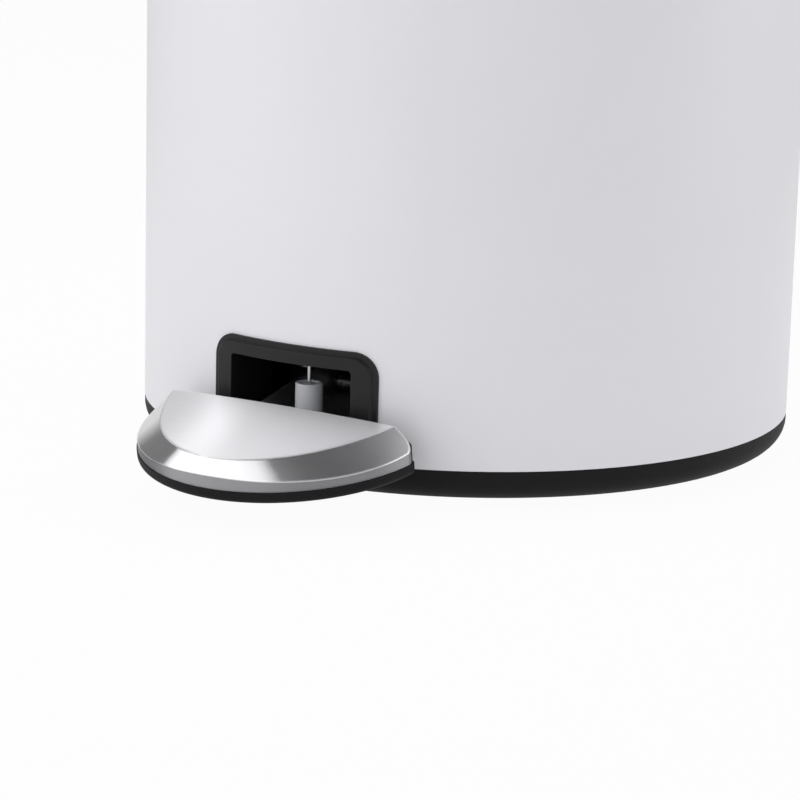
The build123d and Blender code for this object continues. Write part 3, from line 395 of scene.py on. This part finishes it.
# screws: one node tree shapes a cross-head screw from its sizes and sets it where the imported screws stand

screwShape = {
    "sizes": {
        "Head Height": 0.0022,
        "Head Fullness": 3.2,       # 2 is a half ellipse, more is squarer
        "Drive Width": 0.0008,
        "Drive Depth": 0.0010,
        "Drive Reach": 0.0036,
        "Shank Radius": 0.00185,
        "Thread Pitch": 0.0012,
        "Thread Depth": 0.0003,
        "Point": 0.0022,            # taper at the tip
        "Point Share": 0.35,        # radius left at its end
    },
    "rooted": 0.3,                  # share of the head's height that the shank reaches into
    "seed": 4,                      # how far each head is turned
    "around": 32,                   # faces round head and shank
    "headRows": 10,
    "shankRows": 72,
    "weld": 0.000001,               # grid seams and ends
    "sliver": 0.000003,             # thin faces that the booleans leave
    "sharp": math.radians(35),
    "rimShare": 0.95,               # corners past this share of the head's radius are its rim
    "lookDigits": 2,                # faces whose normals agree this far look one way
    "placeDigits": 5,               # screws are put in order by their places, to 0.01 mm
    "sets": {"axle_screws": "can", "hinge_screws": "can", "pedal_screws": "pedal", "lid_screws": "lid"},
}


# a grid rolled into a turned shape: outline gives radius and height from the way along and the turn
def turnedMesh(tree, p, rows, outline):
    size = {0: 1.0, 1: 1.0, 2: p["around"] + 1, 3: rows + 1}
    grid = addNode(tree, "GeometryNodeMeshGrid", size)
    parts = addNode(tree, "ShaderNodeSeparateXYZ")
    tree.links.new(addNode(tree, "GeometryNodeInputPosition").outputs[0], parts.inputs[0])
    turn = mathOn(tree, "MULTIPLY", mathOn(tree, "ADD", parts.outputs[0], 0.5), 2 * math.pi)
    share = mathOn(tree, "ADD", parts.outputs[1], 0.5)
    radius, height = outline(share, turn)
    halfRow = 0.5 / rows
    started = mathOn(tree, "GREATER_THAN", share, halfRow)
    unfinished = mathOn(tree, "LESS_THAN", share, 1 - halfRow)
    inside = mathOn(tree, "MULTIPLY", started, unfinished)
    radius = mathOn(tree, "MULTIPLY", radius, inside)  # both ends close on the axis
    point = addNode(tree, "ShaderNodeCombineXYZ")
    tree.links.new(mathOn(tree, "MULTIPLY", radius, mathOn(tree, "COSINE", turn)), point.inputs[0])
    tree.links.new(mathOn(tree, "MULTIPLY", radius, mathOn(tree, "SINE", turn)), point.inputs[1])
    tree.links.new(height, point.inputs[2])
    moved = addNode(tree, "GeometryNodeSetPosition")
    tree.links.new(grid.outputs[0], moved.inputs["Geometry"])
    tree.links.new(point.outputs[0], moved.inputs["Position"])
    closed = addNode(tree, "GeometryNodeMergeByDistance", {"Distance": p["weld"]})
    tree.links.new(moved.outputs[0], closed.inputs[0])
    return closed.outputs[0]


def makeScrewTree(p):
    tree = bpy.data.node_groups.new("screwMaker", "GeometryNodeTree")
    tree.interface.new_socket("Geometry", in_out="INPUT", socket_type="NodeSocketGeometry")
    for name in ("Head Radius", "Length", *p["sizes"]):
        tree.interface.new_socket(name, in_out="INPUT", socket_type="NodeSocketFloat")
    tree.interface.new_socket("Seed", in_out="INPUT", socket_type="NodeSocketInt")
    tree.interface.new_socket("Finish", in_out="INPUT", socket_type="NodeSocketMaterial")
    tree.interface.new_socket("Geometry", in_out="OUTPUT", socket_type="NodeSocketGeometry")
    size = addNode(tree, "NodeGroupInput").outputs

    def headOutline(share, turn):  # domed pan head, from the middle of its top down to its flat seat
        slope = mathOn(tree, "DIVIDE", 2.0, size["Head Fullness"])
        quarter = math.pi / 2
        toSeat = quarter * p["headRows"] / (p["headRows"] - 1)  # the last row lies in the seat
        lean = mathOn(tree, "SUBTRACT", quarter, mathOn(tree, "MULTIPLY", share, toSeat))
        lean = mathOn(tree, "MAXIMUM", lean, 0.0)
        out = mathOn(tree, "POWER", mathOn(tree, "COSINE", lean), slope)
        up = mathOn(tree, "POWER", mathOn(tree, "SINE", lean), slope)
        height = mathOn(tree, "MULTIPLY", mathOn(tree, "MULTIPLY", up, size["Head Height"]), -1.0)
        return mathOn(tree, "MULTIPLY", out, size["Head Radius"]), height

    def shankOutline(share, turn):  # threaded shank with a tapered end, rooted in the head
        root = mathOn(tree, "MULTIPLY", size["Head Height"], -p["rooted"])
        span = mathOn(tree, "SUBTRACT", size["Length"], root)
        height = mathOn(tree, "ADD", root, mathOn(tree, "MULTIPLY", share, span))
        climbed = mathOn(tree, "DIVIDE", height, size["Thread Pitch"])
        wound = mathOn(tree, "SUBTRACT", climbed, mathOn(tree, "DIVIDE", turn, 2 * math.pi))
        valley = mathOn(tree, "MULTIPLY", mathOn(tree, "PINGPONG", wound, 0.5), 2.0)
        cut = mathOn(tree, "MULTIPLY", valley, size["Thread Depth"])
        radius = mathOn(tree, "SUBTRACT", size["Shank Radius"], cut)
        left = mathOn(tree, "DIVIDE", mathOn(tree, "SUBTRACT", size["Length"], height), size["Point"])
        taper = mathOn(tree, "MINIMUM", mathOn(tree, "MAXIMUM", left, size["Point Share"]), 1.0)
        return mathOn(tree, "MULTIPLY", radius, taper), height

    head = turnedMesh(tree, p, p["headRows"], headOutline)
    shank = turnedMesh(tree, p, p["shankRows"], shankOutline)

    # two crossed bars cut the drive out of the head, and the shank is joined on
    depth = mathOn(tree, "MULTIPLY", size["Drive Depth"], 2.0)
    top = addNode(tree, "ShaderNodeCombineXYZ")
    tree.links.new(mathOn(tree, "MULTIPLY", size["Head Height"], -1.0), top.inputs[2])
    recessed = addNode(tree, "GeometryNodeMeshBoolean", operation="DIFFERENCE", solver="EXACT")
    tree.links.new(head, recessed.inputs["Mesh 1"])
    for order in (("Drive Reach", "Drive Width"), ("Drive Width", "Drive Reach")):
        bar = addNode(tree, "ShaderNodeCombineXYZ")
        tree.links.new(size[order[0]], bar.inputs[0])
        tree.links.new(size[order[1]], bar.inputs[1])
        tree.links.new(depth, bar.inputs[2])
        blade = addNode(tree, "GeometryNodeMeshCube")
        tree.links.new(bar.outputs[0], blade.inputs["Size"])
        raised = addNode(tree, "GeometryNodeTransform")
        tree.links.new(blade.outputs["Mesh"], raised.inputs["Geometry"])
        tree.links.new(top.outputs[0], raised.inputs["Translation"])
        tree.links.new(raised.outputs[0], recessed.inputs["Mesh 2"])
    screw = addNode(tree, "GeometryNodeMeshBoolean", operation="UNION", solver="EXACT")
    tree.links.new(recessed.outputs["Mesh"], screw.inputs["Mesh 2"])
    tree.links.new(shank, screw.inputs["Mesh 2"])
    clean = addNode(tree, "GeometryNodeMergeByDistance", {"Distance": p["sliver"]})
    tree.links.new(screw.outputs["Mesh"], clean.inputs[0])

    # one screw on each point, along its tip direction, each head turned at random
    tip = addNode(tree, "GeometryNodeInputNamedAttribute", {"Name": "tip"}, data_type="FLOAT_VECTOR")
    aim = addNode(tree, "FunctionNodeAlignRotationToVector", axis="Z")
    tree.links.new(tip.outputs["Attribute"], aim.inputs["Vector"])
    stood = addNode(tree, "GeometryNodeInstanceOnPoints")
    tree.links.new(size["Geometry"], stood.inputs["Points"])
    tree.links.new(clean.outputs[0], stood.inputs["Instance"])
    tree.links.new(aim.outputs["Rotation"], stood.inputs["Rotation"])
    span = {"Min": 0.0, "Max": math.pi / 2}
    driven = addNode(tree, "FunctionNodeRandomValue", span, data_type="FLOAT")
    tree.links.new(size["Seed"], driven.inputs["Seed"])
    twist = addNode(tree, "ShaderNodeCombineXYZ")
    tree.links.new(driven.outputs["Value"], twist.inputs[2])
    turned = addNode(tree, "GeometryNodeRotateInstances")
    tree.links.new(stood.outputs[0], turned.inputs["Instances"])
    tree.links.new(twist.outputs[0], turned.inputs["Rotation"])
    real = addNode(tree, "GeometryNodeRealizeInstances")
    tree.links.new(turned.outputs[0], real.inputs[0])
    dressed = addNode(tree, "GeometryNodeSetMaterial")
    tree.links.new(real.outputs[0], dressed.inputs["Geometry"])
    tree.links.new(size["Finish"], dressed.inputs["Material"])
    tree.links.new(dressed.outputs[0], addNode(tree, "NodeGroupOutput").inputs[0])
    return tree


# seat and tip direction of each packed screw, with its length and head radius
def screwStands(node, p):
    shape = bmesh.new()
    shape.from_mesh(nodes[node].data)
    bmesh.ops.remove_doubles(shape, verts=shape.verts, dist=p["weld"])
    waiting, stands = dict.fromkeys(shape.verts), []  # dicts, not sets, so that each run adds up in one order
    while waiting:
        found = [waiting.popitem()[0]]
        for corner in found:
            for edge in corner.link_edges:
                other = edge.other_vert(corner)
                if other in waiting:
                    del waiting[other]
                    found.append(other)
        faces = dict.fromkeys(face for corner in found for face in corner.link_faces)
        looks = {}
        for face in faces:
            key = tuple(round(c, p["lookDigits"]) for c in face.normal)
            looks[key] = looks.get(key, Vector()) + face.normal * face.calc_area()
        tip = max(looks.values(), key=lambda look: look.length).normalized()  # as seat and shank end look
        area = sum(face.calc_area() for face in faces)
        middle = sum((face.calc_center_median() * face.calc_area() for face in faces), Vector()) / area
        along = [(corner.co - middle).dot(tip) for corner in found]
        out = [(corner.co - middle - a * tip).length for corner, a in zip(found, along)]
        headRadius = max(out)
        seat = max(a for a, o in zip(along, out) if o > p["rimShare"] * headRadius)
        stands.append((middle + seat * tip, tip, max(along) - seat, headRadius))
    shape.free()
    return sorted(stands, key=lambda stand: [round(c, p["placeDigits"]) for c in stand[0]])


def makeScrews(p, finish):
    tree = makeScrewTree(p)
    inputs = [item for item in tree.interface.items_tree if item.in_out == "INPUT"]
    identifier = {item.name: item.identifier for item in inputs}
    for node, body in p["sets"].items():
        stands = screwStands(node, p)
        name = node.split("_")[0] + "Screws"
        points = bpy.data.meshes.new(name + "Points")
        points.from_pydata([stand[0] for stand in stands], [], [])
        tips = points.attributes.new("tip", "FLOAT_VECTOR", "POINT")
        for place, stand in zip(tips.data, stands):
            place.vector = stand[1]
        maker = bpy.data.objects.new(name + "Maker", points)
        bpy.context.collection.objects.link(maker)
        modifier = maker.modifiers.new("screwMaker", "NODES")
        modifier.node_group = tree
        values = {
            "Length": stands[0][2],
            "Head Radius": stands[0][3],
            "Seed": p["seed"],
            "Finish": finish,
            **p["sizes"],
        }
        for key, value in values.items():
            modifier[identifier[key]] = value
        bpy.context.view_layer.update()
        graph = bpy.context.evaluated_depsgraph_get()
        mesh = bpy.data.meshes.new_from_object(maker.evaluated_get(graph))
        bpy.data.objects.remove(maker)
        mesh.shade_smooth()
        mesh.set_sharp_from_angle(angle=p["sharp"])
        piece = bpy.data.objects.new(name, mesh)
        bpy.context.collection.objects.link(piece)
        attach(piece, body)
        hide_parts(node)
        print(name, len(stands), "screws", len(mesh.polygons), "faces")


makeScrews(screwShape, makePlatedSteel("screwSteel", screwSteel))


# pale nylon of damper, lift foot, fork and guides

paleNylon = {
    "shade": (0.70, 0.715, 0.76),
    "pale": (0.75, 0.765, 0.81),
    "flow": 160.0,          # moulding flow marks, per metre
    "flowWay": (1, 1, 0.3),
    "grain": 3200.0,
    "grainStrength": 0.2,
    "grainDepth": 0.00002,
    "roughLow": 0.40,
    "roughHigh": 0.50,
    "round": 0.0002,
    "gloss": 0.4,
    "milky": 0.15,          # share of light that passes under the surface
    "milkyDepth": 0.001,
}


def makeNylon(p):
    finish, tree, shader = newFinish("paleNylon", {
        "Specular IOR Level": p["gloss"],
        "Subsurface Weight": p["milky"],
        "Subsurface Scale": p["milkyDepth"],
    })
    flow = noiseOn(tree, objectPoint(tree, p["flowWay"]), p["flow"])
    grain = noiseOn(tree, objectPoint(tree), p["grain"], detail=2.0)
    tree.links.new(twoTone(tree, flow, p["shade"], p["pale"]), shader.inputs["Base Color"])
    unevenRough(tree, shader, grain, p)
    relief(tree, shader, grain, p["grainStrength"], p["grainDepth"], softEdge(tree, p["round"]))
    return finish


dress(["damper_barrel", "damper_piston", "damper_seal", "lift_foot", "lift_fork", "rod_guides"],
      makeNylon(paleNylon))
print("nylon dressed")


# dull rubber of foot ring and lid stops

darkRubber = {
    "deep": (0.010, 0.010, 0.011),
    "dusty": (0.020, 0.020, 0.021),
    "dust": 90.0,           # per metre
    "grain": 1500.0,
    "grainStrength": 0.3,
    "grainDepth": 0.00006,
    "roughLow": 0.65,
    "roughHigh": 0.85,
    "round": 0.0003,
    "gloss": 0.25,
}


def makeRubber(p):
    finish, tree, shader = newFinish("darkRubber", {"Specular IOR Level": p["gloss"]})
    dust = noiseOn(tree, objectPoint(tree), p["dust"], detail=4.0)
    grain = noiseOn(tree, objectPoint(tree), p["grain"])
    tree.links.new(twoTone(tree, dust, p["deep"], p["dusty"]), shader.inputs["Base Color"])
    unevenRough(tree, shader, dust, p)
    relief(tree, shader, grain, p["grainStrength"], p["grainDepth"], softEdge(tree, p["round"]))
    return finish


dress(["foot_ring", "collar_bumpers"], makeRubber(darkRubber))
print("rubber dressed")


# floor

studioFloor = {
    "half": 8.0,
    "colour": (0.94, 0.94, 0.94),
    "speck": 3.0,           # faint tone change, per metre
    "speckTone": 0.99,
    "rough": 0.9,
    "glow": 0.96,           # share of plain white that the camera sees
    "mirrored": 0.80,       # and that polished metal sees close to the can
    "farMirrored": 0.25,    # and far from it
    "near": 0.35,
    "far": 0.9,
    "drop": 0.0002,         # floor just under the foot ring
}


def makeFloor(p):
    mesh = bpy.data.meshes.new("studioFloor")
    corners = [(-1, -1), (1, -1), (1, 1), (-1, 1)]
    mesh.from_pydata([(x * p["half"], y * p["half"], -p["drop"]) for x, y in corners], [], [(0, 1, 2, 3)])
    floor = bpy.data.objects.new("studioFloor", mesh)
    bpy.context.collection.objects.link(floor)
    finish, tree, shader = newFinish("paleFloor", {"Roughness": p["rough"], "Specular IOR Level": 0.0})
    speck = noiseOn(tree, objectPoint(tree), p["speck"], detail=2.0)
    tone = twoTone(tree, speck, tuple(p["speckTone"] * c for c in p["colour"]), p["colour"])
    tree.links.new(tone, shader.inputs["Base Color"])
    plain = addNode(tree, "ShaderNodeEmission", {"Color": (1, 1, 1, 1), "Strength": 1.0})
    rays = addNode(tree, "ShaderNodeLightPath")
    away = addNode(tree, "ShaderNodeVectorMath", operation="LENGTH")
    tree.links.new(objectPoint(tree), away.inputs[0])
    mirrored = spread(tree, away.outputs["Value"], p["near"], p["far"], p["mirrored"], p["farMirrored"])
    polished = mathOn(tree, "MAXIMUM", rays.outputs["Is Glossy Ray"], rays.outputs["Is Transmission Ray"])
    seen = mathOn(tree, "MULTIPLY", rays.outputs["Is Camera Ray"], p["glow"])
    seen = mathOn(tree, "MAXIMUM", seen, mathOn(tree, "MULTIPLY", polished, mirrored))
    mix = addNode(tree, "ShaderNodeMixShader")
    tree.links.new(seen, mix.inputs[0])
    tree.links.new(shader.outputs[0], mix.inputs[1])
    tree.links.new(plain.outputs[0], mix.inputs[2])
    tree.links.new(mix.outputs[0], tree.nodes["Material Output"].inputs["Surface"])
    mesh.materials.append(finish)


makeFloor(studioFloor)


# light: bright walls with a dark panel at the left, a dim ceiling, nearly dark straight above, and lamps

studioLight = {
    "wall": 0.86,
    "ceiling": 0.22,
    "ceilingFrom": (0.35, 0.85),    # height over which wall turns into ceiling
    "middle": 0.06,                 # share of light left straight above
    "middleFrom": (0.83, 0.92),
    "panel": (-0.95, 0.12, 0.29),
    "panelLeft": 0.25,              # share of light left on the dark panel
    "panelFrom": (0.86, 0.96),
    "lamps": {
        "key": {                    # large and soft, in front at the left
            "place": (-0.62, -1.04, 0.80),
            "aim": (0.0, -0.15, 0.03),
            "size": (2.3, 1.05),
            "power": 7.3,
            "mirrored": True,
        },
        "strip": {                  # high at the left, for the streak on the tread
            "place": (-0.83, 0.13, 1.12),
            "aim": (0.0, -0.15, 0.03),
            "size": (0.07, 0.80),
            "power": 0.45,
            "mirrored": True,
        },
        "top": {                    # softens the streak
            "place": (-0.62, 0.15, 1.25),
            "aim": (0.0, -0.15, 0.03),
            "size": (0.34, 0.90),
            "power": 0.93,
            "mirrored": True,
        },
        "fill": {                   # behind at the right
            "place": (1.20, 0.80, 0.50),
            "aim": (0.0, 0.0, 0.15),
            "size": (1.3, 1.3),
            "power": 4.4,
            "mirrored": True,
        },
        "lidTop": {                 # soft light on the lid that polished metal doesn't show
            "place": (0.0, 0.0, 1.05),
            "aim": (0.0, 0.0, 0.3),
            "size": (0.6, 0.6),
            "power": 1.4,
            "mirrored": False,
        },
    },
}


def makeLamp(name, p):
    lamp = bpy.data.lights.new(name, "AREA")
    lamp.shape = "RECTANGLE"
    lamp.size, lamp.size_y = p["size"]
    lamp.energy = p["power"]
    holder = bpy.data.objects.new(name, lamp)
    bpy.context.collection.objects.link(holder)
    place = Vector(p["place"])
    back = (place - Vector(p["aim"])).normalized()
    side = (Vector((1.0, 0.0, 0.0)) - back.x * back).normalized()
    turned = Matrix((side, back.cross(side), back)).transposed().to_4x4()
    holder.matrix_world = Matrix.Translation(place) @ turned
    holder.visible_camera = p["mirrored"]
    holder.visible_glossy = p["mirrored"]


def makeLight(p):
    world = bpy.data.worlds.new("studioWorld")
    bpy.context.scene.world = world
    world.use_nodes = True
    tree = world.node_tree
    sky = addNode(tree, "ShaderNodeTexCoord")
    parts = addNode(tree, "ShaderNodeSeparateXYZ")
    tree.links.new(sky.outputs["Generated"], parts.inputs[0])
    height = parts.outputs[2]
    towards = addNode(tree, "ShaderNodeVectorMath", {1: p["panel"]}, operation="DOT_PRODUCT")
    tree.links.new(sky.outputs["Generated"], towards.inputs[0])
    level = spread(tree, height, *p["ceilingFrom"], p["wall"], p["ceiling"])
    overhead = spread(tree, height, *p["middleFrom"], 1.0, p["middle"])
    panel = spread(tree, towards.outputs["Value"], *p["panelFrom"], 1.0, p["panelLeft"])
    level = mathOn(tree, "MULTIPLY", mathOn(tree, "MULTIPLY", level, overhead), panel)
    rays = addNode(tree, "ShaderNodeLightPath")
    level = mathOn(tree, "MAXIMUM", level, rays.outputs["Is Camera Ray"])
    tree.links.new(level, tree.nodes["Background"].inputs["Strength"])
    tree.nodes["Background"].inputs["Color"].default_value = (1.0, 1.0, 1.0, 1.0)
    for name, lamp in p["lamps"].items():
        makeLamp(name + "Lamp", lamp)


makeLight(studioLight)
print("floor and light set")


# camera at the photo's angle, close to the pedal

photoView = {
    "place": (0.5886, -1.0170, 0.2820),
    "turn": math.radians(31.30),
    "dip": math.radians(12.97),
    "roll": math.radians(1.43),
    "lens": 138.4,
    "sensor": 36.0,
    "nearest": 0.05,
}


def makeCamera(p):
    turn, dip, roll = p["turn"], p["dip"], p["roll"]
    ahead = Vector((-math.sin(turn) * math.cos(dip), math.cos(turn) * math.cos(dip), -math.sin(dip)))
    right = Vector((math.cos(turn), math.sin(turn), 0.0))
    above = right.cross(ahead)
    across = math.cos(roll) * right + math.sin(roll) * above
    upright = -math.sin(roll) * right + math.cos(roll) * above
    turned = Matrix((across, upright, -ahead)).transposed().to_4x4()
    lens = bpy.data.cameras.new("photoCamera")
    lens.lens = p["lens"]
    lens.sensor_width = p["sensor"]
    lens.clip_start = p["nearest"]
    holder = bpy.data.objects.new("photoCamera", lens)
    bpy.context.collection.objects.link(holder)
    holder.matrix_world = Matrix.Translation(p["place"]) @ turned
    bpy.context.scene.camera = holder


makeCamera(photoView)
bpy.context.scene.view_settings.view_transform = "Standard"
